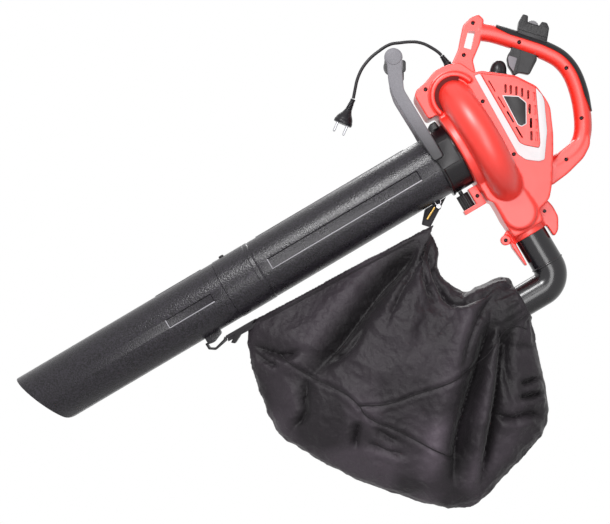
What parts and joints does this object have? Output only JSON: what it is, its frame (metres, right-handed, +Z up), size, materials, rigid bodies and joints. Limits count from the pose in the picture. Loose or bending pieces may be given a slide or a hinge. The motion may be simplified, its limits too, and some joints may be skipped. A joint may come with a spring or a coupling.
{
  "type": "electric leaf vacuum",
  "caption": "Hand-held electric garden vacuum: two-piece suction tube, fan housing with motor and looped hand grip, front handle, outlet pipe and hanging collection bag, with cord and plug.",
  "frame": {"origin": "middle of the rear hand grip's bar, where the hand carries the tool", "axes": "+Z up with the tool held as in use, +X from the nozzle towards the motor, +Y from the near side, which shows the white trim and badge, to the far side; the suction tube rises 30.6 degrees towards +X"},
  "size_m": [1.0619, 0.262, 0.9095],
  "materials": {
    "housing_red": "satin",
    "trim_white": "satin",
    "badge_black": "gloss",
    "tube_black": "matte",
    "pipe_black": "satin",
    "part_black": "satin",
    "dial_grey": "satin",
    "grip_rubber": "matte",
    "handle_grey": "satin",
    "bag_cloth": "matte",
    "webbing": "matte",
    "steel": "polished",
    "copper": "satin",
    "cord_black": "satin"
  },
  "bodies": {
    "machine": {"housing_near": "housing_red", "housing_far": "housing_red", "vent_cover_near": "housing_red", "vent_cover_far": "housing_red", "lock_bracket": "housing_red", "trim_near": "trim_white", "trim_far": "trim_white", "badge": "badge_black", "upper_tube": "tube_black", "lower_tube": "tube_black", "inlet_collar": "tube_black", "outlet_sleeve": "pipe_black", "outlet_elbow": "pipe_black", "bag_collar": "pipe_black", "trigger_switch": "part_black", "dial_housing": "part_black", "selector_base": "part_black", "front_hook": "part_black", "strap_slider": "part_black", "grip_overmould": "grip_rubber", "front_handle_arm_near": "handle_grey", "front_handle_arm_far": "handle_grey", "front_handle_grip": "handle_grey", "bag": "bag_cloth", "rear_strap": "webbing", "front_strap": "webbing", "motor_stator": "steel", "front_bearing": "steel", "rear_bearing": "steel", "trigger_pin": "steel", "dial_pin": "steel", "plug_pin_left": "steel", "plug_pin_right": "steel", "rear_strap_pin": "steel", "brush_holder_near": "copper", "brush_holder_far": "copper", "power_cord": "cord_black", "cord_boot": "cord_black", "plug": "cord_black"},
    "rotor": {"impeller": "steel", "motor_shaft": "steel", "motor_armature": "steel", "commutator": "copper"},
    "trigger": {"trigger": "part_black"},
    "speed_dial": {"speed_dial": "dial_grey"},
    "selector_knob": {"selector_knob": "part_black"},
    "lock_knob": {"lock_knob": "part_black"},
    "tube_latch": {"tube_latch": "part_black"}
  },
  "joints": [
    {"name": "impeller_spin", "type": "hinge", "parent": "machine", "child": "rotor", "pos_m": [-0.09264, 0, -0.18026], "axis": [0.8607, 0, 0.509], "continuous": true},
    {"name": "trigger_press", "type": "hinge", "parent": "machine", "child": "trigger", "pos_m": [0.01413, 0, -0.01497], "axis": [0, 1, 0], "range_deg": [0, 7], "stiffness_Nm_per_rad": 2},
    {"name": "speed_dial_turn", "type": "hinge", "parent": "machine", "child": "speed_dial", "pos_m": [0.00933, 0, 0.03271], "axis": [0, 1, 0], "range_deg": [-135, 135]},
    {"name": "selector_turn", "type": "hinge", "parent": "machine", "child": "selector_knob", "pos_m": [-0.05462, 0, -0.05832], "axis": [0.1374, 0, 0.9905], "range_deg": [0, 90]},
    {"name": "lock_knob_turn", "type": "hinge", "parent": "machine", "child": "lock_knob", "pos_m": [-0.12078, 0, -0.27707], "axis": [-0.509, 0, 0.8607], "continuous": true},
    {"name": "tube_latch_press", "type": "slide", "parent": "machine", "child": "tube_latch", "axis": [0.509, 0, -0.8607], "range_m": [0, 0.0025], "stiffness_N_per_m": 600}
  ]
}
